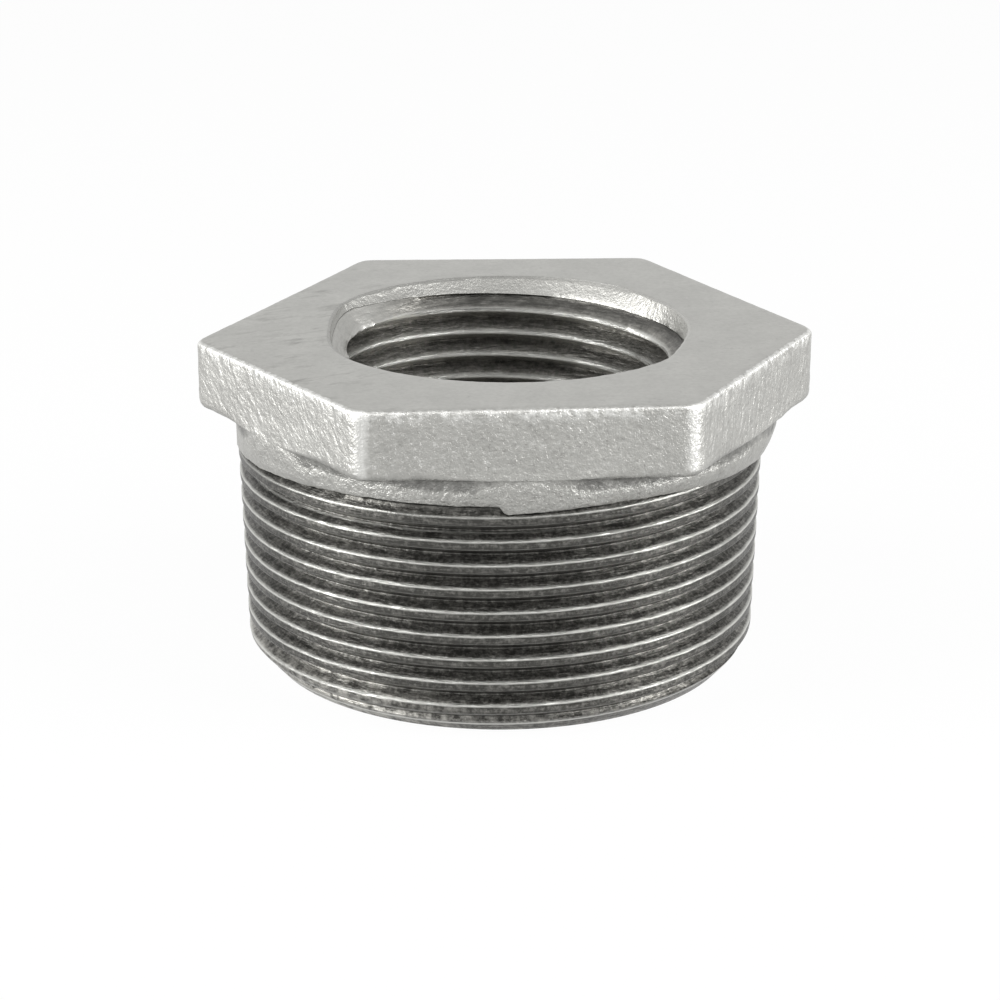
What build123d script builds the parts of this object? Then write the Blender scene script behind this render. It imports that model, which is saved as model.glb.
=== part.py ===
from build123d import *
from math import atan, ceil, degrees, radians, tan
import os

os.makedirs("parts", exist_ok=True)

# Hex reducing bushing, one casting with two cut threads. Millimetres, +Z up.
# The origin is on the common axis of the two threads, in the plane of the male end's face.

# Both threads: 60 degree V, right hand, cut on a cone that widens by 1 in 16 of its length
threads_per_inch = 11.5
inch = 25.4
thread_angle = 60
taper_on_diameter = 1 / 16
thread_root_flat = 0.12

# Head
overall_height = 30.8
across_flats = 50.5
head_height = 6.5
corner_radius = 1.8
top_edge_radius = 0.5
under_edge_radius = 0.9

# Male thread, from the face of the male end up to the round collar under the head
male_crest_diameter = 47.32
male_thread_length = 21.3
male_full_thread_length = 17.6
male_crest_flat = 0.75
male_crest_angle = 270
male_crest_height = 18.2
lead_in_width = 2.05
lead_in_height = 2.3
collar_diameter = 50.2
collar_foot_step = 0.1
collar_foot_height = 1.2
collar_foot_radius = 1.4
core_clearance = 0.05

# Female thread: a drilled hole, reamed to the taper down to the tap's lead, and a countersunk mouth
female_root_diameter = 33.24
tap_drill_diameter = 29.0
drilled_length = 22.8
female_full_thread_length = 15.0
tap_lead_length = 3.4
female_crest_angle = 90
female_crest_height = 28.28
countersink_diameter = 35.0
countersink_angle = 90

# Cored relief at the male end, which leaves a ring to stand on
relief_mouth_diameter = 35.6
relief_draft_angle = 2.0
relief_shoulder_angle = 45
relief_mouth_chamfer = 0.6

# How far a cutter runs past the metal that it cuts
overrun = 0.8
flank_overrun = 0.1

# Worked out from the sizes above
pitch = inch / threads_per_inch
taper = taper_on_diameter / 2
flank_slope = tan(radians(thread_angle / 2))
male_thread_depth = (pitch - male_crest_flat - thread_root_flat) / 2 / flank_slope
head_underside = overall_height - head_height
male_crest_radius = male_crest_diameter / 2
collar_radius = collar_diameter / 2
tap_drill_radius = tap_drill_diameter / 2
relief_mouth_radius = relief_mouth_diameter / 2


def turned(*points):
    """The solid that an outline of (radius, height) points makes when it turns about the axis."""
    return revolve(Plane.XZ * make_face(Polyline(*points, close=True)), Axis.Z)


def groove_section(path, depth, opens):
    """A V with a flat root at the start of its path: opens is 1 where it faces outwards and -1 inwards."""
    half_root = thread_root_flat / 2
    half_mouth = half_root + (depth + flank_overrun) * flank_slope
    right_side = [
        (-opens * depth, half_root),
        (opens * flank_overrun, half_mouth),
        (opens * overrun, half_mouth),
    ]
    left_side = [(x, -y) for x, y in reversed(right_side)]
    start = path @ 0
    outward = Vector(start.X, start.Y, 0)
    section_plane = Plane(origin=start, x_dir=outward, z_dir=path % 0)
    return section_plane * make_face(Polyline(*right_side, *left_side, close=True))


def thread_turns(crest_radius_at_origin, depth, crest_height, crest_angle, bottom, top, opens):
    """The space between a thread's crests, one solid for each turn, given the place of one crest."""
    groove_height_at_crest = crest_height + pitch / 2
    start_angle = crest_angle + 360 * (bottom - groove_height_at_crest) / pitch
    section = None
    turns = []
    for turn in range(ceil((top - bottom) / pitch)):
        turn_bottom = bottom + turn * pitch
        helix = Helix(
            pitch=pitch,
            height=pitch,
            radius=crest_radius_at_origin + taper * turn_bottom,
            cone_angle=degrees(atan(taper)),
        )
        path = Pos(0, 0, turn_bottom) * Rot(0, 0, start_angle) * helix
        # each turn starts on the end face of the one before, so that they meet without a seam
        section = section or groove_section(path, depth, opens)
        turns.append(sweep(section, path=path, is_frenet=True))
        section = turns[-1].faces().filter_by(GeomType.PLANE).sort_by_distance(path @ 1)[0]
    return turns


# Male thread: a tapered plug with a lead-in, grooved along its whole length
crest_radius_at_collar = male_crest_radius + taper * male_thread_length
crest_radius_at_lead_in = male_crest_radius + taper * lead_in_height
male_end_radius = crest_radius_at_lead_in - lead_in_width
male_plug = turned(
    (0, 0),
    (male_end_radius, 0),
    (crest_radius_at_lead_in, lead_in_height),
    (crest_radius_at_collar, male_thread_length),
    (0, male_thread_length),
)
male_plug -= thread_turns(
    male_crest_radius,
    male_thread_depth,
    male_crest_height,
    male_crest_angle,
    bottom=-pitch,
    top=male_thread_length + pitch,
    opens=1,
)

# Core of the stem: it lies under the full thread's roots, fills the last turns, where the cutter
# leaves the roots shallow, and ends in the collar
root_radius_at_full_thread = male_crest_radius + taper * male_full_thread_length - male_thread_depth
stem_core = turned(
    (0, overrun),
    (tap_drill_radius, overrun),
    (root_radius_at_full_thread - core_clearance, male_full_thread_length),
    (crest_radius_at_collar + collar_foot_step, male_thread_length),
    (collar_radius, male_thread_length + collar_foot_height),
    (collar_radius, head_underside + head_height / 2),
    (0, head_underside + head_height / 2),
)
collar_face = stem_core.faces().filter_by(GeomType.CYLINDER).sort_by(SortBy.RADIUS)[-1]
stem_core = fillet(collar_face.edges().sort_by(Axis.Z)[0], collar_foot_radius)

# Head: a hexagon with cast corners and edges
head = extrude(RegularPolygon(across_flats / 2, 6, major_radius=False), head_height)
head = fillet(head.edges().filter_by(Axis.Z), corner_radius)
head = fillet(head.faces().sort_by(Axis.Z)[-1].edges(), top_edge_radius)
head = fillet(head.faces().sort_by(Axis.Z)[0].edges(), under_edge_radius)
head = Pos(0, 0, head_underside) * head

bushing = head + stem_core + male_plug

# Bore: cored relief, drilled band, reamed taper and countersink in one turned outline
full_thread_bottom = overall_height - female_full_thread_length
tap_lead_bottom = full_thread_bottom - tap_lead_length
drilled_bottom = overall_height - drilled_length
relief_slope = tan(radians(relief_draft_angle))
shoulder_slope = tan(radians(relief_shoulder_angle))
shoulder_reach = relief_mouth_radius - tap_drill_radius
relief_top = (drilled_bottom * shoulder_slope - shoulder_reach) / (shoulder_slope - relief_slope)
countersink_radius = countersink_diameter / 2
countersink_slope = tan(radians(countersink_angle / 2))
reamed_radius_at_origin = tap_drill_radius - taper * tap_lead_bottom
reamed_radius_at_face = reamed_radius_at_origin + taper * overall_height
countersink_depth = (countersink_radius - reamed_radius_at_face) / (countersink_slope - taper)
bushing -= turned(
    (0, -overrun),
    (relief_mouth_radius + relief_mouth_chamfer + overrun, -overrun),
    (relief_mouth_radius, relief_mouth_chamfer),
    (relief_mouth_radius - relief_slope * relief_top, relief_top),
    (tap_drill_radius, drilled_bottom),
    (tap_drill_radius, tap_lead_bottom),
    (reamed_radius_at_face - taper * countersink_depth, overall_height - countersink_depth),
    (countersink_radius + overrun * countersink_slope, overall_height + overrun),
    (0, overall_height + overrun),
)

# Female thread: the groove ends in the short cone that the tap's lead leaves, above the plain drilled band
female_root_radius = female_root_diameter / 2
root_radius_at_lead = female_root_radius - taper * female_full_thread_length
female_turns = thread_turns(
    reamed_radius_at_origin,
    female_root_radius - reamed_radius_at_face,
    female_crest_height,
    female_crest_angle,
    bottom=tap_lead_bottom - pitch,
    top=overall_height + pitch,
    opens=-1,
)
lead_slope = tap_lead_length / (root_radius_at_lead - tap_drill_radius)
tapped_radius = female_root_radius + overrun
tapped_space = turned(
    (0, tap_lead_bottom),
    (tap_drill_radius, tap_lead_bottom),
    (tapped_radius, tap_lead_bottom + lead_slope * (tapped_radius - tap_drill_radius)),
    (tapped_radius, overall_height + overrun),
    (0, overall_height + overrun),
)
bushing -= [turn & tapped_space for turn in female_turns]

export_step(bushing, "parts/hex_bushing.step")
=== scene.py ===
from math import atan2, ceil, cos, pi, radians, sin, sqrt

import bmesh
import bpy
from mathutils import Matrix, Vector


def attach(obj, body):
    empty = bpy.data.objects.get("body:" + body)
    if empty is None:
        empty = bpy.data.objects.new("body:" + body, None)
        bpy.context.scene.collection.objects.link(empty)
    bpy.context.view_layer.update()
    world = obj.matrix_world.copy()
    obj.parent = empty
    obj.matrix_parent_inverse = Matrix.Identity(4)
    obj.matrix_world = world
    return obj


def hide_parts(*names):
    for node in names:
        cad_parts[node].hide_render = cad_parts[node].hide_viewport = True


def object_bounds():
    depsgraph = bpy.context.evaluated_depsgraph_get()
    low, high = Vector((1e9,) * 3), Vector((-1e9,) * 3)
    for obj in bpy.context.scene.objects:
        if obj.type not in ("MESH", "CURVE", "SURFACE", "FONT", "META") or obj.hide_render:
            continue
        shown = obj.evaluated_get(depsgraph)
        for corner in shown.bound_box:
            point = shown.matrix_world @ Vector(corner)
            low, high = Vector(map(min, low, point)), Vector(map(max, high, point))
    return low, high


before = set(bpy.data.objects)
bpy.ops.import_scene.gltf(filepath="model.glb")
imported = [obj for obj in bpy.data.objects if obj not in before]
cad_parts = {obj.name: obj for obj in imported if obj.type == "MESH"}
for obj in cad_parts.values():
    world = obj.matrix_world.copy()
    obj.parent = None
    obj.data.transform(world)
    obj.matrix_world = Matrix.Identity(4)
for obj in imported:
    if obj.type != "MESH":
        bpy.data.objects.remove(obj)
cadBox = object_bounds()
mm = 0.001
print("frame loaded")


# Values that run through a node tree, so that a rule reads as plain arithmetic
class Field:
    def __init__(self, tree, socket):
        self.tree = tree
        self.socket = socket

    def __add__(self, other):
        return calc("ADD", self, other)

    def __radd__(self, other):
        return calc("ADD", other, self)

    def __sub__(self, other):
        return calc("SUBTRACT", self, other)

    def __rsub__(self, other):
        return calc("SUBTRACT", other, self)

    def __mul__(self, other):
        return calc("MULTIPLY", self, other)

    def __rmul__(self, other):
        return calc("MULTIPLY", other, self)

    def __truediv__(self, other):
        return calc("DIVIDE", self, other)


def plug(tree, value, socket):
    if isinstance(value, Field):
        tree.links.new(value.socket, socket)
    else:
        socket.default_value = value


def calc(operation, *values, clamp=False):
    tree = next(value.tree for value in values if isinstance(value, Field))
    node = tree.nodes.new("ShaderNodeMath")
    node.operation = operation
    node.use_clamp = clamp
    for value, socket in zip(values, node.inputs):
        plug(tree, value, socket)
    return Field(tree, node.outputs[0])


# This one and the next two take plain numbers as well
def clamped(value):
    if isinstance(value, Field):
        return calc("ADD", value, 0.0, clamp=True)
    return min(max(value, 0), 1)


def power(value, exponent):
    if isinstance(value, Field):
        return calc("POWER", calc("MAXIMUM", value, 0.0), exponent)
    return max(value, 0) ** exponent


def ramp(value, low, high):
    return clamped((value - low) / (high - low))


# 1 at the middle, 0 from the reach on
def near(value, middle, reach):
    return 1 - clamped(calc("ABSOLUTE", value - middle) / reach)


def xyz(tree, x, y, z):
    node = tree.nodes.new("ShaderNodeCombineXYZ")
    for value, socket in zip((x, y, z), node.inputs):
        plug(tree, value, socket)
    return Field(tree, node.outputs[0])


def split(tree, vector):
    node = tree.nodes.new("ShaderNodeSeparateXYZ")
    plug(tree, vector, node.inputs[0])
    return [Field(tree, socket) for socket in node.outputs]


def noise(tree, vector, scale, detail=2.0, roughness=0.5):
    node = tree.nodes.new("ShaderNodeTexNoise")
    plug(tree, vector, node.inputs["Vector"])
    plug(tree, scale, node.inputs["Scale"])
    node.inputs["Detail"].default_value = detail
    node.inputs["Roughness"].default_value = roughness
    return Field(tree, node.outputs[0])


def namedInputs(tree, floats, ints=()):
    for name in floats:
        tree.interface.new_socket(name, in_out="INPUT", socket_type="NodeSocketFloat")
    for name in ints:
        tree.interface.new_socket(name, in_out="INPUT", socket_type="NodeSocketInt")
    entry = tree.nodes.new("NodeGroupInput")
    return {socket.name: Field(tree, socket) for socket in entry.outputs}


def endTree(tree, geometry, material):
    real = tree.nodes.new("GeometryNodeRealizeInstances")
    tree.links.new(geometry, real.inputs[0])
    paint = tree.nodes.new("GeometryNodeSetMaterial")
    tree.links.new(real.outputs[0], paint.inputs["Geometry"])
    plug(tree, material, paint.inputs["Material"])
    out = tree.nodes.new("NodeGroupOutput")
    tree.links.new(paint.outputs[0], out.inputs[0])


# The tree on a mesh, or on none, as a plain mesh. Inputs that aren't among the values stay 0
def runTree(name, tree, values, mesh=None):
    made = bpy.data.objects.new(name, mesh or bpy.data.meshes.new(name))
    bpy.context.scene.collection.objects.link(made)
    modifier = made.modifiers.new(tree.name, "NODES")
    modifier.node_group = tree
    for item in tree.interface.items_tree:
        if item.item_type == "SOCKET" and item.in_out == "INPUT" and item.name in values:
            modifier[item.identifier] = values[item.name]
    depsgraph = bpy.context.evaluated_depsgraph_get()
    result = bpy.data.meshes.new_from_object(made.evaluated_get(depsgraph))
    bpy.data.objects.remove(made)
    return result


bushing = dict(
    columns=384,               # points round the axis, the same in every band
    pitch=25.4 / 11.5 * mm,
    taper=1 / 32,              # on the radius
    height=cadBox[1].z - cadBox[0].z,
    edgeSoftness=0.09 * mm,    # of the crests' and the roots' edges
    rimSoftness=0.35 * mm,     # from the top face into the mouth
    sharpAngle=50,
    weld=0.004 * mm,           # points closer than this are one
    sliver=0.001 * mm,
)

outsideThread = dict(
    outwards=1.0,
    crestRadius=23.66 * mm,    # at the plane of the male end
    crestFlat=0.74 * mm,
    depth=1.16 * mm,
    crestHeight=18.2 * mm,     # of one crest's middle, at the angle below
    crestAngle=270,
    bottom=0.0,
    fadeEnd=22.9 * mm,         # the groove is gone here
    fadeLength=-2.6 * mm,
    rimRadius=23.73 * mm,      # lead-in cone, between the two heights
    footRadius=21.68 * mm,
    rimHeight=2.3 * mm,
    footHeight=0.0,
    top=20.1 * mm,             # lower edge of the zinc skin, which the die left
    topSwing=1.69 * mm,
    swingAngle=259,
    topLeast=20.3 * mm,
    topBlend=0.6 * mm,
    stepAngle=266.6,           # where the die stopped
    stepDrop=0.75 * mm,
    stepSpan=26,
    stepSteepness=32.0,
    ragged=0.26 * mm,
    raggedScale=26.0,
    rowsPerTurn=12,
    rowPull=0.045,             # draws rows to the edges of the crests and to the roots
    rowWaves=3.0,
)

insideThread = dict(
    outwards=-1.0,
    castLimit=1.0,             # what limits the thread here is cast, not cut
    crestRadius=(14.5 - 12.4 / 32) * mm,
    crestFlat=0.3 * mm,
    depth=1.545 * mm,
    crestHeight=28.28 * mm,
    crestAngle=90,
    bottom=12.4 * mm,
    fadeEnd=12.4 * mm,
    fadeLength=3.4 * mm,
    rimRadius=17.6 * mm,       # cast countersink, which ends at the root of the last groove
    rimHeight=bushing["height"],
    footRadius=16.56 * mm,
    footHeight=29.62 * mm,
    footSwing=0.55 * mm,
    shiftX=0.75 * mm,          # the cast countersink isn't quite on the thread's axis
    shiftY=0.4 * mm,
    rightRoll=1.05 * mm,       # worn in at the right
    rollAngle=6,
    rollStart=0.68,            # cosines of the angle from there, where it starts and is full
    rollFull=0.94,
    leftRoll=1.3 * mm,         # and at the left
    leftRollAngle=174.843,
    leftRollPower=10.0,
    flare=0.6 * mm,            # while at the right the cutter went wider at the mouth
    flareAngle=-10,
    uncutAngle=172,            # round here the last groove fades out, above this height
    uncutHeight=29.1 * mm,
    land=0.9 * mm,             # and the last crest stays thick
    landHeight=28.3 * mm,
    top=bushing["height"] - bushing["rimSoftness"] * (1 - cos(pi / 4)),
    rowsPerTurn=8,
    rowPull=-0.055,
    rowWaves=2.0,
)

castMouth = dict(              # how the cast countersink and the cut thread meet
    uncutRange=(0.5, 0.88),    # cosines of the angle from the middle, from none to all
    uncutBlend=0.3 * mm,
    uncutShare=0.93,           # of the groove's depth
    landBlend=0.5 * mm,
    flareRange=(0.72, 0.97),   # cosines too
    flareHeights=(26.1 * mm, 27.5 * mm),
    leastSlope=0.3,            # of the countersink, as reach over height
    slopeBelow=0.9,            # and of what stands for it under its foot
    softness=0.1 * mm,
    footGap=0.25 * mm,         # what lies this far below the foot is cut
    uncutGap=0.15 * mm,        # or, round the uncut angle, this far below the rim
    cutBlend=0.1 * mm,
    cutLevel=0.8,
    lipAngle=-28.648,          # here the cutter also took the rim's own skin
    lipRange=(0.84, 0.97),
    lipDepths=(0.1 * mm, 0.4 * mm),
)


# The mouth's rim, off centre and worn in: the last two are the cosines of the angles to the two rolls
def mouthRim(sizes, cosine, sine, toRight, toLeft):
    rim = sizes["rimRadius"] + sizes["shiftX"] * cosine + sizes["shiftY"] * sine
    roll = ramp(toRight, sizes["rollStart"], sizes["rollFull"])
    rim = rim - sizes["rightRoll"] * roll * roll * (3 - roll * 2)
    return rim - sizes["leftRoll"] * power(toLeft, sizes["leftRollPower"])


# A band of taper thread: a grid whose rows climb with the crests, held between its two ends
def taperThreadTree():
    tree = bpy.data.node_groups.new("taperThread", "GeometryNodeTree")
    tree.interface.new_socket("mesh", in_out="OUTPUT", socket_type="NodeSocketGeometry")
    tree.interface.new_socket("material", in_out="INPUT", socket_type="NodeSocketMaterial")
    given = namedInputs(tree, [
        "outwards", "pitch", "taper", "crestRadius", "crestFlat", "depth", "firstCrest", "bottom",
        "top", "topSwing", "swingAngle", "topLeast", "topBlend", "stepAngle", "stepDrop", "stepSpan",
        "stepSteepness", "ragged", "raggedScale", "fadeEnd", "fadeLength", "rimRadius", "rimHeight",
        "footRadius", "footHeight", "footSwing", "shiftX", "shiftY", "rightRoll", "rollAngle",
        "rollStart", "rollFull", "leftRoll", "leftRollAngle", "leftRollPower", "uncutAngle",
        "uncutHeight", "land", "landHeight", "flare", "flareAngle", "castLimit", "rowPull",
        "rowWaves", "edgeSoftness",
    ], ["columns", "rows", "rowsPerTurn"])
    grid = tree.nodes.new("GeometryNodeMeshGrid")
    grid.inputs["Size X"].default_value = 1
    grid.inputs["Size Y"].default_value = 1
    plug(tree, given["columns"] + 1, grid.inputs["Vertices X"])
    plug(tree, given["rows"], grid.inputs["Vertices Y"])
    place = tree.nodes.new("GeometryNodeInputPosition")
    across, up, _ = split(tree, Field(tree, place.outputs[0]))
    turn = across + 0.5
    angle = turn * (2 * pi)
    cosine, sine = calc("COSINE", angle), calc("SINE", angle)
    row = calc("ROUND", (up + 0.5) * (given["rows"] - 1))
    climbed = row / given["rowsPerTurn"]
    pulled = climbed + given["rowPull"] * calc("SINE", climbed * given["rowWaves"] * (2 * pi))

    # the ragged top edge, highest at the swing angle, with the step where the die stopped
    edgeNoise = noise(tree, xyz(tree, cosine, sine, 0.0), given["raggedScale"], 4.0, 0.7) - 0.5
    swung = given["top"] + given["topSwing"] * calc("COSINE", angle - given["swingAngle"])
    past = (angle - given["stepAngle"]) / given["stepSpan"]
    step = clamped(past * given["stepSteepness"]) * clamped(1 - past) * given["stepDrop"]
    top = calc("SMOOTH_MAX", swung - step, given["topLeast"], given["topBlend"])
    top = top + edgeNoise * given["ragged"]
    climb = given["firstCrest"] + given["pitch"] * (pulled + turn)
    height = calc("MINIMUM", calc("MAXIMUM", climb, given["bottom"]), top)

    # depth under the crest, from the distance to the nearest crest's middle
    crests = (height - given["firstCrest"]) / given["pitch"] - turn
    toCrest = calc("ABSOLUTE", crests - calc("ROUND", crests)) * given["pitch"]
    flank = (toCrest - given["crestFlat"] / 2) * sqrt(3)
    below = calc("SMOOTH_MAX", flank, 0.0, given["edgeSoftness"])
    below = calc("SMOOTH_MIN", below, given["depth"], given["edgeSoftness"])
    fade = clamped((height - given["fadeEnd"]) / given["fadeLength"])
    side = ramp(calc("COSINE", angle - given["uncutAngle"]), *castMouth["uncutRange"])
    uncutEnd = given["uncutHeight"] + castMouth["uncutBlend"]
    uncut = side * ramp(height, given["uncutHeight"], uncutEnd) * given["castLimit"]
    below = below - uncut * given["depth"] * castMouth["uncutShare"]
    below = calc("SMOOTH_MAX", below, 0.0, given["edgeSoftness"])
    land = ramp(height, given["landHeight"], given["landHeight"] + castMouth["landBlend"])
    land = side * given["land"] * land
    flare = ramp(calc("COSINE", angle - given["flareAngle"]), *castMouth["flareRange"]) * given["flare"]
    flare = flare * ramp(height, *castMouth["flareHeights"])
    crest = given["crestRadius"] + given["taper"] * height - land + flare
    thread = given["outwards"] * crest - below * fade

    # the cone that limits the thread: the lead-in outside, the cast countersink inside
    toRight, toLeft = [calc("COSINE", angle - given[name]) for name in ("rollAngle", "leftRollAngle")]
    rim = mouthRim(given, cosine, sine, toRight, toLeft)
    footHeight = given["footHeight"] - given["footSwing"] * cosine
    coneHeight = given["rimHeight"] - footHeight
    foot = calc("MINIMUM", given["footRadius"] + flare, rim - coneHeight * castMouth["leastSlope"])
    rise = height - footHeight
    limit = foot + (rim - foot) * rise / coneHeight + calc("MINIMUM", rise, 0.0) * castMouth["slopeBelow"]
    limit = limit * given["outwards"]
    radius = given["outwards"] * calc("SMOOTH_MIN", thread, limit, castMouth["softness"])

    # how far the surface lies in cast metal, in millimetres: below 0 it is cut
    cast = (thread - limit) / mm * given["castLimit"] - (1 - given["castLimit"])
    cutTop = footHeight - castMouth["footGap"] + side * (given["top"] - castMouth["uncutGap"] - footHeight)
    cutBelow = ramp(height, cutTop + castMouth["cutBlend"], cutTop - castMouth["cutBlend"])
    cutBelow = cutBelow * given["castLimit"]
    cast = cast * (1 - cutBelow) - cutBelow * castMouth["cutLevel"]
    lip = ramp(calc("COSINE", angle - radians(castMouth["lipAngle"])), *castMouth["lipRange"])
    lip = lip * ramp(given["top"] - height, *castMouth["lipDepths"])
    cast = cast - lip * given["castLimit"] * 2
    store = tree.nodes.new("GeometryNodeStoreNamedAttribute")
    store.data_type = "FLOAT"
    store.inputs["Name"].default_value = "cast"
    tree.links.new(grid.outputs["Mesh"], store.inputs["Geometry"])
    plug(tree, cast, store.inputs["Value"])
    move = tree.nodes.new("GeometryNodeSetPosition")
    tree.links.new(store.outputs[0], move.inputs["Geometry"])
    plug(tree, xyz(tree, radius * cosine, radius * sine, height), move.inputs["Position"])
    merge = tree.nodes.new("GeometryNodeMergeByDistance")
    merge.inputs["Distance"].default_value = bushing["weld"]
    tree.links.new(move.outputs[0], merge.inputs["Geometry"])
    endTree(tree, merge.outputs[0], given["material"])
    return tree


def threadBand(name, tree, thread, material):
    pitch = bushing["pitch"]
    atZero = thread["crestHeight"] - pitch * thread["crestAngle"] / 360
    firstCrest = atZero - pitch * (ceil((atZero - thread["bottom"]) / pitch) + 1)
    turns = ceil((thread["top"] + thread.get("topSwing", 0) - firstCrest) / pitch) + 1
    values = {**bushing, **thread, "firstCrest": firstCrest, "material": material}
    values["rows"] = thread["rowsPerTurn"] * turns
    for key, value in thread.items():
        if key.endswith(("Angle", "Span")):
            values[key] = radians(value)
    return runTree(name, tree, values)


head = dict(
    flats=[                    # angle of each flat's normal, and the flat's millimetres from the axis
        (25.5, 25.05), (88.2, 25.2), (151.0, 23.1),
        (212.3, 25.1), (270.3, 25.15), (329.4, 25.95),
    ],
    leastLean=0.3,             # cosine, past which a flat is out of reach
    cornerSoftness=1.67 * mm,
    underside=24.3 * mm,
    undersideTilt=0.22 * mm,   # lower at the right
    topEdge=0.5 * mm,
    underEdge=0.8 * mm,
    underEdgeShare=0.55,       # at most, of the step from the collar to the flat
    collarRadius=25.0 * mm,
    collarShift=0.62 * mm,
    bulge=0.75 * mm,           # the collar runs into the left flat
    bulgeAngle=208,
    bulgeSharpness=20,
    collarFoot=3.4 * mm,
    lip=0.12 * mm,
    fillet=1.0 * mm,
    creaseStep=0.6 * mm,       # where the flats stand out this far, the fold under them is dark with painted shadow
    creaseReach=0.5 * mm,
    arcRows=4,
    filletRows=3,
    sideRows=13,
    topRows=17,
    rimRows=3,
    rimReach=1.2,              # how much further in than down the bend into the mouth goes
)


def smoothMin(a, b, width):
    overlap = max(width - abs(a - b), 0) / width
    return min(a, b) - overlap ** 3 * width / 6


def headRadius(angle):
    radius = None
    for normal, offset in head["flats"]:
        lean = cos(angle - radians(normal))
        if lean > head["leastLean"]:
            reach = offset * mm / lean
            radius = reach if radius is None else smoothMin(radius, reach, head["cornerSoftness"])
    return radius


# A quarter turn in steps, each as its sine and what its cosine falls short of 1
def quarterTurn(rows):
    return [(sin(pi / 2 * i / rows), 1 - cos(pi / 2 * i / rows)) for i in range(rows + 1)]


# Points (radius, height, topFace, crease) from the zinc's lower edge up and over to the bore's rim
def headColumn(angle, footHeight):
    outer = headRadius(angle)
    bulge = head["bulge"] * max(cos(angle - radians(head["bulgeAngle"])), 0) ** head["bulgeSharpness"]
    collar = min(head["collarRadius"] + head["collarShift"] * cos(angle) + bulge, outer)
    under = head["underside"] - head["undersideTilt"] * cos(angle)
    step = max(outer - collar, 0)
    edge = min(head["underEdge"], step * head["underEdgeShare"])
    reach = step - edge
    # how deep the fold under the flat is, which also sets its painted shadow
    creaseAndShadow = min(step / head["creaseStep"], 1)
    fillet, drop = min(head["fillet"], reach), head["fillet"] * creaseAndShadow
    creaseFoot = under - drop - head["creaseReach"] * creaseAndShadow
    lipRadius = outsideThread["crestRadius"] + bushing["taper"] * footHeight + head["lip"]
    rise = min(head["collarFoot"], creaseFoot - footHeight)
    rows = head["arcRows"]

    # collar, with the fold under the flats
    points = []
    for out, up in quarterTurn(rows):
        points.append((lipRadius + (collar - lipRadius) * (out + up) / 2, footHeight + rise * up, 0, 0))
    if creaseFoot - footHeight - rise > head["lip"]:
        points.append((collar, creaseFoot, 0, 0))
    else:
        points.append((collar, (creaseFoot * 2 + under - drop) / 3, 0, creaseAndShadow / 3))
    for out, up in quarterTurn(head["filletRows"]):
        points.append((collar + fillet * up, under - drop * (1 - out), 0, creaseAndShadow))

    # underside, flat and top edge
    for i in range(1, rows + 1):
        points.append((collar + fillet + (reach - fillet) * i / rows, under, 0, creaseAndShadow))
    for i, (out, up) in enumerate(quarterTurn(rows)[1:], 1):
        points.append((outer - edge * (1 - out), under + edge * up, 0, creaseAndShadow * (1 - i / rows)))
    low, high = under + edge, bushing["height"] - head["topEdge"]
    for i in range(1, head["sideRows"]):
        points.append((outer, low + (high - low) * i / (head["sideRows"] - 1), 0, 0))
    for i, (out, up) in enumerate(quarterTurn(rows)[1:], 1):
        points.append((outer - head["topEdge"] * up, high + head["topEdge"] * out, i / rows, 0))

    # top face, as far as half of the bend into the mouth
    toRight, toLeft = [cos(angle - radians(insideThread[name])) for name in ("rollAngle", "leftRollAngle")]
    rim = mouthRim(insideThread, cos(angle), sin(angle), toRight, toLeft)
    start, inner = points[-1][0], rim + bushing["rimSoftness"]
    for i in range(1, head["topRows"]):
        points.append((start + (inner - start) * i / (head["topRows"] - 1), bushing["height"], 1, 0))
    for i in range(1, head["rimRows"] + 1):
        turn = pi / 4 * i / head["rimRows"]
        points.append((inner - bushing["rimSoftness"] * sin(turn) * head["rimReach"],
                       bushing["height"] - bushing["rimSoftness"] * (1 - cos(turn)),
                       1 - i / head["rimRows"], 0))
    return points


base = dict(                   # relief and male end, radius and height in millimetres
    outline=[(14.5, 8.0), (16.0, 6.4), (17.63, 4.87), (17.72, 2.6), (17.8, 0.6), (18.4, 0.0), (20.0, 0.0)],
)


def boundaryLoops(bm):
    loops = []
    left = {e for e in bm.edges if e.is_boundary}
    while left:
        edge = left.pop()
        loop = [edge.verts[0], edge.verts[1]]
        while True:
            following = [e for e in loop[-1].link_edges if e in left]
            if not following:
                break
            left.discard(following[0])
            loop.append(following[0].other_vert(loop[-1]))
        if loop[0] == loop[-1]:
            loop.pop()
        loops.append(loop)
    return sorted(loops, key=lambda loop: sum(v.co.z for v in loop) / len(loop))


def byAngle(loop):
    return sorted(loop, key=lambda v: atan2(v.co.y, v.co.x) % (2 * pi))


def stitch(bm, first, second):
    count = len(first)
    for i in range(count):
        j = (i + 1) % count
        corners = []
        for v in (first[i], first[j], second[j], second[i]):
            if v not in corners:
                corners.append(v)
        if len(corners) > 2:
            bm.faces.new(corners)


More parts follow.
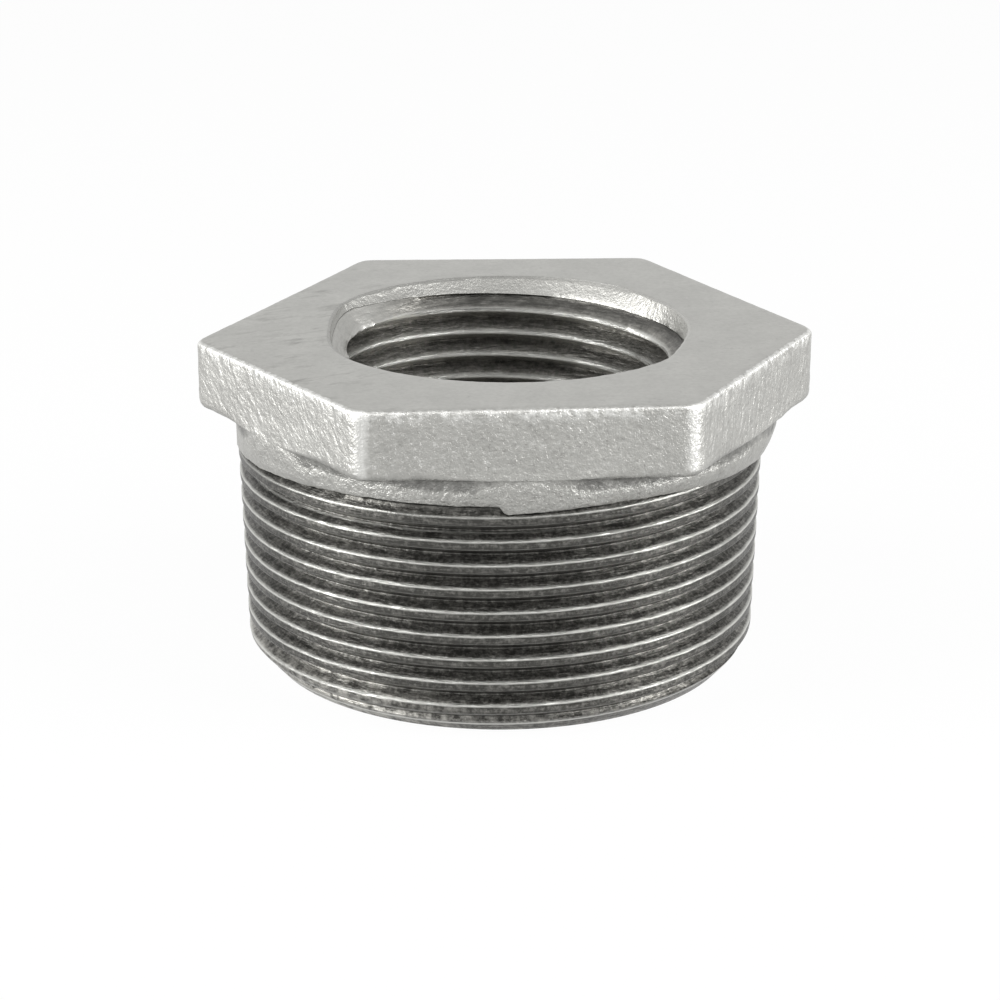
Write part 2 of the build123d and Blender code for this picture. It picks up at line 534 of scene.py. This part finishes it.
def buildBushing(material):
    tree = taperThreadTree()
    bm = bmesh.new()
    bm.from_mesh(threadBand("outsideThread", tree, outsideThread, material))
    bm.from_mesh(threadBand("insideThread", tree, insideThread, material))
    print("threads cut")
    cast = bm.verts.layers.float["cast"]
    top = bm.verts.layers.float.new("topFace")
    # the fold's depth, which also sets its painted shadow
    creaseAndShadow = bm.verts.layers.float.new("creaseAndShadow")
    outsideFoot, insideFoot, outsideTop, insideTop = [byAngle(loop) for loop in boundaryLoops(bm)]

    columns = []
    for foot in outsideTop:
        angle = atan2(foot.co.y, foot.co.x)
        column = []
        for radius, height, face, foldAndShadow in headColumn(angle, foot.co.z):
            v = bm.verts.new((radius * cos(angle), radius * sin(angle), height))
            v[cast] = 1.0
            v[top] = face
            v[creaseAndShadow] = foldAndShadow
            column.append(v)
        columns.append(column)
    previous = outsideTop
    for row in zip(*columns):
        stitch(bm, previous, row)
        previous = row
    stitch(bm, previous, insideTop)

    previous = insideFoot
    angles = [atan2(v.co.y, v.co.x) for v in insideFoot]
    for radius, height in base["outline"]:
        row = []
        for angle in angles:
            v = bm.verts.new((radius * mm * cos(angle), radius * mm * sin(angle), height * mm))
            v[cast] = -1.0
            row.append(v)
        stitch(bm, previous, row)
        previous = row
    stitch(bm, previous, outsideFoot)
    bmesh.ops.remove_doubles(bm, verts=bm.verts, dist=bushing["weld"])
    bmesh.ops.dissolve_degenerate(bm, edges=bm.edges, dist=bushing["sliver"])
    bmesh.ops.recalc_face_normals(bm, faces=bm.faces)
    mesh = bpy.data.meshes.new("hexBushing")
    bm.to_mesh(mesh)
    bm.free()
    mesh.materials.append(material)
    print("head and male end stitched on")
    return mesh


castSkin = dict(
    lump=0.16 * mm,
    lumpScale=420.0,
    pit=0.10 * mm,
    pitScale=1000.0,
    level=0.62,                # of the noise that moves nothing, so that most of the skin sinks
    chatter=0.03 * mm,         # left by the tools, where the surface is cut
    topCalm=0.9,               # how much calmer the top face is
    standing=0.7 * mm,         # what lies lower stays flat on the floor
)


# Cast skin: lumps and pits pushed in along the normal, only where the surface is cast
def castSkinTree():
    tree = bpy.data.node_groups.new("castSkin", "GeometryNodeTree")
    tree.interface.new_socket("mesh", in_out="OUTPUT", socket_type="NodeSocketGeometry")
    tree.interface.new_socket("mesh", in_out="INPUT", socket_type="NodeSocketGeometry")
    tree.interface.new_socket("material", in_out="INPUT", socket_type="NodeSocketMaterial")
    given = namedInputs(tree, list(castSkin))
    place = Field(tree, tree.nodes.new("GeometryNodeInputPosition").outputs[0])
    normal = Field(tree, tree.nodes.new("GeometryNodeInputNormal").outputs[0])
    values = {}
    for name in ("cast", "topFace"):
        read = tree.nodes.new("GeometryNodeInputNamedAttribute")
        read.data_type = "FLOAT"
        read.inputs["Name"].default_value = name
        values[name] = Field(tree, read.outputs["Attribute"])
    skin = clamped(values["cast"] * 4)
    rough = skin * (1 - values["topFace"] * given["topCalm"])
    lump = (noise(tree, place, given["lumpScale"], 3.0) - given["level"]) * given["lump"]
    pit = (noise(tree, place, given["pitScale"], 2.0) - given["level"]) * given["pit"]
    chatter = (noise(tree, place, given["lumpScale"] * 2, 2.0) - 0.5) * given["chatter"]
    shift = (lump + pit) * rough + chatter * (1 - skin)
    scale = tree.nodes.new("ShaderNodeVectorMath")
    scale.operation = "SCALE"
    plug(tree, normal, scale.inputs[0])
    plug(tree, shift, scale.inputs["Scale"])
    x, y, z = split(tree, Field(tree, scale.outputs[0]))
    standing = calc("GREATER_THAN", split(tree, place)[2], given["standing"])
    move = tree.nodes.new("GeometryNodeSetPosition")
    plug(tree, given["mesh"], move.inputs["Geometry"])
    plug(tree, xyz(tree, x * standing, y * standing, z * standing), move.inputs["Offset"])
    endTree(tree, move.outputs[0], given["material"])
    return tree


finish = dict(
    zinc=(0.41, 0.407, 0.387),
    zincDark=(0.365, 0.362, 0.344),
    # also the colour of the painted highlights on the edges and corners
    zincBright=(0.74, 0.74, 0.72),
    # the pits' colour, also that of the painted shade on the collar
    zincPitAndShade=(0.23, 0.228, 0.214),
    # the colour of the painted shadow in the fold under the flats
    zincFoldShadow=(0.13, 0.129, 0.122),
    steel=(0.058, 0.0567, 0.0525),
    steelLight=5.8,            # times the steel's colour, where it is most worn or has the most painted light
    # colours of the painted highlights along the worn crests, outside and in the bore
    crest=(0.58, 0.58, 0.55),
    innerCrest=(0.64, 0.64, 0.61),
    mouthLightAndShade=(0.76, 1.05),  # times the zinc's colour, from the left to the right: painted shade at the left, painted light at the right
    topShades=(0.93, 1.04),
    zincRoughness=0.46,
    cutRoughness=0.34,
    cutRoughnessSwing=0.12,
    bumpDepth=0.3 * mm,
)

patterns = dict(               # scale, detail and roughness of each noise
    border=(1400.0, 3.0, 0.6),
    streaks=(500.0, 4.0, 0.65),
    blotches=(900.0, 4.0, 0.6),
    grain=(2600.0, 2.0, 0.7),
    mottle=(300.0, 4.0, 0.6),
    speckle=(2200.0, 3.0, 0.7),
    scratches=(800.0, 4.0, 0.7),
    slanted=(1400.0, 2.0, 0.55),
    upright=(1350.0, 2.0, 0.55),
    even=(2000.0, 3.0, 0.65),
)

drawn = dict(                  # the direction that a pattern is drawn out along, and how many times
    scratches=((0.9, 0.45, 0.0), 3.5),
    slanted=((0.35, -0.61, -0.71), 1.9),
    upright=((0.16, 0.1, 0.98), 3.6),
)

marks = dict(                  # where each mark starts and is full, as x, y or z unless it says otherwise
    boreRadius=18.5 * mm,      # what lies further out isn't in the bore
    streakSquash=9,            # in height, so that the tools' streaks run round the axis
    wander=0.16 * mm,          # of the bright lines along the crests
    innerLine=0.34 * mm,       # their widths, from the middle out
    outerLine=0.16 * mm,
    lowerLine=0.06 * mm,
    toothLine=0.09 * mm,
    toothOffsets=(0.53 * mm, 0.97 * mm),
    toothTurns=(-0.18, -0.28),             # turns round the axis
    lastTurns=(19.3 * mm, 19.8 * mm),
    crestFlat=(0.1 * mm, -0.02 * mm),      # past the edges of a crest's flat
    maleEnd=(5 * mm, 1 * mm),
    boreLeftLight=(12 * mm, 0.0),
    scuffSide=(-4 * mm, -13 * mm),
    scuffHeight=(4.5 * mm, 1.5 * mm),
    shadeSide=(-9 * mm, -2 * mm),
    shadeHeight=(28.1 * mm, 28.7 * mm),
    crescentSide=(-8 * mm, -12 * mm),
    crescentHeight=(28.0 * mm, 28.8 * mm),
    collarShadeHeight=(25 * mm, 23 * mm),
    mouthSide=(2 * mm, 10 * mm),
    scratchSide=(-8 * mm, -15 * mm),
    edgeMiddle=0.8 * mm,
    edgeSide=(12 * mm, 15 * mm),
    highlightBandHeight=(29.4 * mm, 30.2 * mm),
    cornerMiddle=0.85 * mm,    # between the two front corners
    cornerOffset=14.1 * mm,
    cornerWidth=1.0 * mm,
    cornerDepth=(-22 * mm, -24 * mm),
    cornerHeight=(24.4 * mm, 25.2 * mm),
    leftSide=(-12 * mm, -14.5 * mm),
    rightSide=(14 * mm, 17 * mm),
    foldHeight=(25 * mm, 24 * mm),
)


def mixColour(tree, factor, first, second):
    node = tree.nodes.new("ShaderNodeMix")
    node.data_type = "RGBA"
    plug(tree, factor, node.inputs[0])
    for value, socket in ((first, node.inputs[6]), (second, node.inputs[7])):
        if isinstance(value, Field):
            tree.links.new(value.socket, socket)
        else:
            socket.default_value = (*value, 1)
    return Field(tree, node.outputs[2])


def shade(colour, times):
    return [part * times for part in colour]


# The place, drawn out along one direction
def stretched(tree, place, direction, times):
    unit = Vector(direction).normalized()
    dot = tree.nodes.new("ShaderNodeVectorMath")
    dot.operation = "DOT_PRODUCT"
    plug(tree, place, dot.inputs[0])
    dot.inputs[1].default_value = unit
    along = Field(tree, dot.outputs["Value"]) * (1 / times - 1)
    return xyz(tree, *[part + along * toward for part, toward in zip(split(tree, place), unit)])


def galvanisedIron():
    material = bpy.data.materials.new("galvanisedIron")
    material.use_nodes = True
    tree = material.node_tree
    shader = tree.nodes["Principled BSDF"]
    place = Field(tree, tree.nodes.new("ShaderNodeTexCoord").outputs["Object"])
    x, y, z = split(tree, place)

    def attribute(name):
        node = tree.nodes.new("ShaderNodeAttribute")
        node.attribute_name = name
        return Field(tree, node.outputs["Fac"])

    def pattern(name):
        where = stretched(tree, place, *drawn[name]) if name in drawn else place
        return noise(tree, where, *patterns[name])

    # zinc or cut metal, with a ragged border
    border = pattern("border") - 0.5
    castDepth, topFace = attribute("cast"), attribute("topFace")
    skin = ramp(castDepth + border * 0.35, -0.04, 0.04)
    flatTop = ramp(topFace + border * 0.2, 0.45, 0.9)
    outside = calc("GREATER_THAN", calc("SQRT", x * x + y * y), marks["boreRadius"])
    inBore = 1 - outside

    def ofThread(inner, outer):
        return outside * (outer - inner) + inner

    # where the surface is on its thread: metres above the nearest crest's middle
    angle = calc("ARCTAN2", y, x) / (2 * pi)
    pitch = bushing["pitch"]
    threads = (insideThread, outsideThread)
    atZero = [thread["crestHeight"] / pitch - thread["crestAngle"] / 360 for thread in threads]
    crests = z / pitch - angle - ofThread(*atZero)
    above = (crests - calc("ROUND", crests)) * pitch
    halfFlat = ofThread(*[thread["crestFlat"] / 2 for thread in threads])
    streaks = noise(tree, xyz(tree, x, y, z * marks["streakSquash"]), *patterns["streaks"])
    blotches = pattern("blotches")
    grain = pattern("grain")

    # painted highlights along the crests' rounded edges, where the crests are also worn bright
    line = above + (streaks - 0.5) * marks["wander"]
    upperEdge = near(line, halfFlat * outside, ofThread(marks["innerLine"], marks["outerLine"]))
    lowerEdge = near(line + halfFlat, 0.0, marks["lowerLine"])
    upperEdge = upperEdge * (1 - ramp(z, *marks["lastTurns"]) * outside * 0.55)
    # the die's last tooth left two more fine lines over the last full crest, towards the left
    lastCrest = outside * near(calc("ROUND", crests), 1, 1) * ramp(angle, *marks["toothTurns"])
    for offset in marks["toothOffsets"]:
        upperEdge = upperEdge + near(line, halfFlat + offset, marks["toothLine"]) * lastCrest * 0.55
    wearAndHighlight = clamped(upperEdge + lowerEdge * 0.25 * outside)

    # how bright the cut metal is between them: grain, blotches and worn patches, painted light in the bore,
    # and painted shade on the crests' flats
    fromFlat, toFlat = marks["crestFlat"]
    onCrest = ramp(calc("ABSOLUTE", above), halfFlat + fromFlat, halfFlat + toFlat) * outside
    crestShade = ramp(calc("ABSOLUTE", above), halfFlat * 0.2, halfFlat * 0.8) * 0.45 + 0.45 - streaks * 0.3
    flank = power(1 - clamped(above / (pitch / 2)), 2) * calc("GREATER_THAN", above, 0.0)
    bright = ramp(blotches, 0.35, 0.7) + ramp(grain, 0.45, 0.7) * 0.7
    bright = bright * (1 + ramp(z, *marks["maleEnd"]) * 1.4)
    # painted light: the bore's cut metal lighter, most just above each crest and fading to the root, more at
    # the left
    bright = bright + inBore * (1.5 + flank * 1.3 * ramp(x, *marks["boreLeftLight"]))
    bright = bright * (1 - onCrest * crestShade) + (streaks - 0.5) * inBore * 5
    bright = bright + (grain - 0.5) * 2.6 + (streaks - 0.5) * outside * 3
    scuffed = ramp(x, *marks["scuffSide"]) * ramp(z, *marks["scuffHeight"]) * outside
    bright = bright + scuffed * ramp(blotches + border * 0.6, 0.35, 0.65) * 4
    cut = mixColour(tree, clamped(bright / 4), finish["steel"], shade(finish["steel"], finish["steelLight"]))
    # paints the crests' highlight and wear colour over the cut metal
    cut = mixColour(tree, wearAndHighlight, cut, mixColour(tree, outside, finish["innerCrest"], finish["crest"]))

    # marks in the mouth: a painted shade under the lip, the bare crescent and a painted shadow line along
    # the zinc's edge
    shaded = ramp(x, *marks["shadeSide"]) * ramp(z, *marks["shadeHeight"]) * inBore
    cut = mixColour(tree, clamped(shaded * (1.5 - streaks * 1.3)), cut, finish["steel"])
    crescent = ramp(x, *marks["crescentSide"]) * ramp(z, *marks["crescentHeight"]) * inBore
    cut = mixColour(tree, crescent * (0.5 + streaks * 0.6), cut, finish["zinc"])
    # painted shadow: a dark line along the edge of the zinc in the bore
    outline = near(castDepth + border * 0.2, -0.12, 0.3)
    cut = mixColour(tree, outline * inBore * 0.9, cut, finish["steel"])

    # cast zinc: mottled and pitted
    mottle = pattern("mottle")
    speckle = pattern("speckle")
    cast = mixColour(tree, ramp(mottle, 0.35, 0.65), finish["zincDark"], finish["zinc"])
    cast = mixColour(tree, ramp(speckle, 0.57, 0.68) * 0.5, cast, finish["zincPitAndShade"])
    cast = mixColour(tree, ramp(speckle, 0.43, 0.32) * 0.3, cast, finish["zincBright"])
    # painted shade on the collar below the head, darker downwards
    cast = mixColour(tree, ramp(z, *marks["collarShadeHeight"]) * 0.12, cast, finish["zincPitAndShade"])
    # zinc in the mouth: painted shade at the left, painted light at the right
    mouthLightAndShade = [shade(finish["zinc"], times) for times in finish["mouthLightAndShade"]]
    mouthLitZinc = mixColour(tree, ramp(x, *marks["mouthSide"]), *mouthLightAndShade)
    cast = mixColour(tree, outside, mouthLitZinc, cast)

    # calmer on the top face, with scratches at the left
    topShades = [shade(finish["zinc"], times) for times in finish["topShades"]]
    calm = mixColour(tree, ramp(mottle, 0.3, 0.7), *topShades)
    scratches = ramp(pattern("scratches"), 0.52, 0.7) * ramp(mottle, 0.4, 0.54)
    scratches = scratches * ramp(x, *marks["scratchSide"])
    calm = mixColour(tree, ramp(speckle, 0.4, 0.7) * 0.22, calm, finish["zincPitAndShade"])
    calm = mixColour(tree, scratches * 0.85, calm, finish["zincPitAndShade"])
    zinc = mixColour(tree, flatTop, cast, calm)

    # painted highlights on the top edges, on a ragged band below them and down the front corners, where the
    # zinc is also worn bright; painted shadow in the fold under the flats
    sideways = ramp(calc("ABSOLUTE", x - marks["edgeMiddle"]), *marks["edgeSide"])
    # painted highlight along the rounded top edges, more on the left and right
    edge = ramp(topFace * (1 - topFace) * 4 + border * 2.2, 0.4, 1.1) * (0.3 + sideways * 0.55)
    # painted highlight: a ragged band on the sides just under the top edge
    highlightBand = ramp(z, *marks["highlightBandHeight"]) * (1 - flatTop) * ramp(blotches + border, 0.42, 0.62) * 0.55
    zinc = mixColour(tree, calc("MAXIMUM", edge, highlightBand) * outside, zinc, finish["zincBright"])
    fromMiddle = calc("ABSOLUTE", x - marks["cornerMiddle"])
    # painted highlight down the two front corners, where the zinc is also worn bright
    corner = near(fromMiddle, marks["cornerOffset"], marks["cornerWidth"]) * (1 - flatTop)
    corner = corner * ramp(y, *marks["cornerDepth"]) * ramp(z, *marks["cornerHeight"])
    zinc = mixColour(tree, ramp(corner + border * 0.9, 0.25, 0.8) * 0.5, zinc, finish["zincBright"])
    # painted shadow in the fold under the flats, ragged
    foldShadow = ramp(attribute("creaseAndShadow") + border * 1.6 + (blotches - 0.5) * 1.4, 0.25, 1.2)
    zinc = mixColour(tree, foldShadow * 0.8, zinc, finish["zincFoldShadow"])
    plug(tree, mixColour(tree, skin, cut, zinc), shader.inputs["Base Color"])

    cutRough = finish["cutRoughness"] + blotches * finish["cutRoughnessSwing"]
    plug(tree, cutRough + (finish["zincRoughness"] - cutRough) * skin, shader.inputs["Roughness"])
    shader.inputs["Metallic"].default_value = 1.0

    # bumps: slanted on the left flat, upright on the right one, even elsewhere
    leftSide = ramp(x, *marks["leftSide"]) * outside
    rightSide = ramp(x, *marks["rightSide"]) * outside
    even = pattern("even")
    lumps = even * (1 - leftSide) * (1 - rightSide) * 0.5
    lumps = lumps + pattern("slanted") * leftSide * 0.48 + pattern("upright") * rightSide * 0.7
    lumps = (lumps + even * ramp(z, *marks["foldHeight"]) * 0.35) * (0.8 + blotches * 0.4)
    castHeight = (lumps * (outside * 0.4 + 0.6) + grain * 0.3) * (1 - flatTop * 0.85) * (1 - corner * 0.4)
    cutHeight = streaks * 0.3 + grain * 0.14
    bump = tree.nodes.new("ShaderNodeBump")
    bump.inputs["Distance"].default_value = finish["bumpDepth"]
    bump.inputs["Strength"].default_value = 1.0
    plug(tree, castHeight * skin + cutHeight * (1 - skin), bump.inputs["Height"])
    tree.links.new(bump.outputs[0], shader.inputs["Normal"])
    return material


material = galvanisedIron()
mesh = buildBushing(material)
mesh = runTree("castSkin", castSkinTree(), {**castSkin, "material": material}, mesh)
mesh.name = "hexBushing"
mesh.shade_smooth()
mesh.set_sharp_from_angle(angle=radians(bushing["sharpAngle"]))
piece = bpy.data.objects.new("hexBushing", mesh)
bpy.context.scene.collection.objects.link(piece)
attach(piece, "root")
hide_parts("hex_bushing")
print("bushing built", len(mesh.polygons))


studio = dict(
    azimuth=-3.6,              # of the camera, as in the photograph
    elevation=19.23,
    distance=0.27622,
    aimHeight=13.945 * mm,
    lens=105.97,
    sensorWidth=36,
    clipStart=0.01,
    lampAim=15 * mm,
    lamps=dict(                # azimuth, elevation, distance, size and watts
        leftSoftbox=(-78, 30, 0.5, (0.28, 0.55), 1.9),
        rightSoftbox=(69, 30, 0.5, (0.28, 0.55), 2.1),
        leftStrip=(-76, 14, 0.5, (0.3, 0.24), 1.9),
        rightStrip=(69, 14, 0.5, (0.3, 0.24), 1.7),
        frontSoftbox=(0, 50, 0.6, (0.5, 0.3), 0.6),
    ),
    worldGrey=(0.15, 0.15, 0.15),
    white=(1.0, 1.0, 1.0),
    floorColour=(0.8, 0.8, 0.8),
    floorReach=1.5,
    floorRoughness=0.9,
    floorGlow=0.96,            # the rest of what is seen of the floor holds the shadow
)


# Puts it in the scene at that angle round the axis, looking at a point on the axis
def aimed(made, azimuth, elevation, distance, height):
    a, e = radians(azimuth), radians(elevation)
    back = Vector((sin(a) * cos(e), -cos(a) * cos(e), sin(e)))
    made.location = Vector((0, 0, height)) + back * distance
    made.rotation_euler = (-back).to_track_quat("-Z", "Y").to_euler()
    bpy.context.scene.collection.objects.link(made)


def makeCamera():
    camera = bpy.data.objects.new("camera", bpy.data.cameras.new("camera"))
    camera.data.lens = studio["lens"]
    camera.data.sensor_width = studio["sensorWidth"]
    camera.data.clip_start = studio["clipStart"]
    aimed(camera, studio["azimuth"], studio["elevation"], studio["distance"], studio["aimHeight"])
    bpy.context.scene.camera = camera


def areaLight(name, azimuth, elevation, distance, size, watts):
    light = bpy.data.lights.new(name, "AREA")
    light.shape = "RECTANGLE"
    light.size, light.size_y = size
    light.energy = watts
    aimed(bpy.data.objects.new(name, light), azimuth, elevation, distance, studio["lampAim"])


# 1 where the ray shows the white surroundings: to the camera, in a reflection or through glass
def seenRay(tree):
    path = tree.nodes.new("ShaderNodeLightPath")
    camera, glossy, through = [Field(tree, path.outputs[name])
                               for name in ("Is Camera Ray", "Is Glossy Ray", "Is Transmission Ray")]
    return clamped(camera + glossy + through)


def makeWorld():
    world = bpy.data.worlds.new("studio")
    bpy.context.scene.world = world
    world.use_nodes = True
    tree = world.node_tree
    background = tree.nodes["Background"]
    colour = mixColour(tree, seenRay(tree), studio["worldGrey"], studio["white"])
    plug(tree, colour, background.inputs["Color"])
    background.inputs["Strength"].default_value = 1.0


def paleFloor():
    paint = bpy.data.materials.new("paleFloor")
    paint.use_nodes = True
    tree = paint.node_tree
    shader = tree.nodes["Principled BSDF"]
    shader.inputs["Base Color"].default_value = (*studio["floorColour"], 1)
    shader.inputs["Roughness"].default_value = studio["floorRoughness"]
    shader.inputs["Specular IOR Level"].default_value = 0.0
    glow = tree.nodes.new("ShaderNodeEmission")
    glow.inputs["Strength"].default_value = 1.0
    mix = tree.nodes.new("ShaderNodeMixShader")
    plug(tree, seenRay(tree) * studio["floorGlow"], mix.inputs[0])
    tree.links.new(shader.outputs[0], mix.inputs[1])
    tree.links.new(glow.outputs[0], mix.inputs[2])
    tree.links.new(mix.outputs[0], tree.nodes["Material Output"].inputs["Surface"])
    return paint


def makeFloor():
    bm = bmesh.new()
    bmesh.ops.create_grid(bm, x_segments=1, y_segments=1, size=studio["floorReach"])
    floorMesh = bpy.data.meshes.new("floor")
    bm.to_mesh(floorMesh)
    bm.free()
    floorMesh.materials.append(paleFloor())
    floor = bpy.data.objects.new("floor", floorMesh)
    bpy.context.scene.collection.objects.link(floor)


makeCamera()
for name, lamp in studio["lamps"].items():
    areaLight(name, *lamp)
makeWorld()
makeFloor()
bpy.context.scene.view_settings.view_transform = "Standard"
print("studio set")
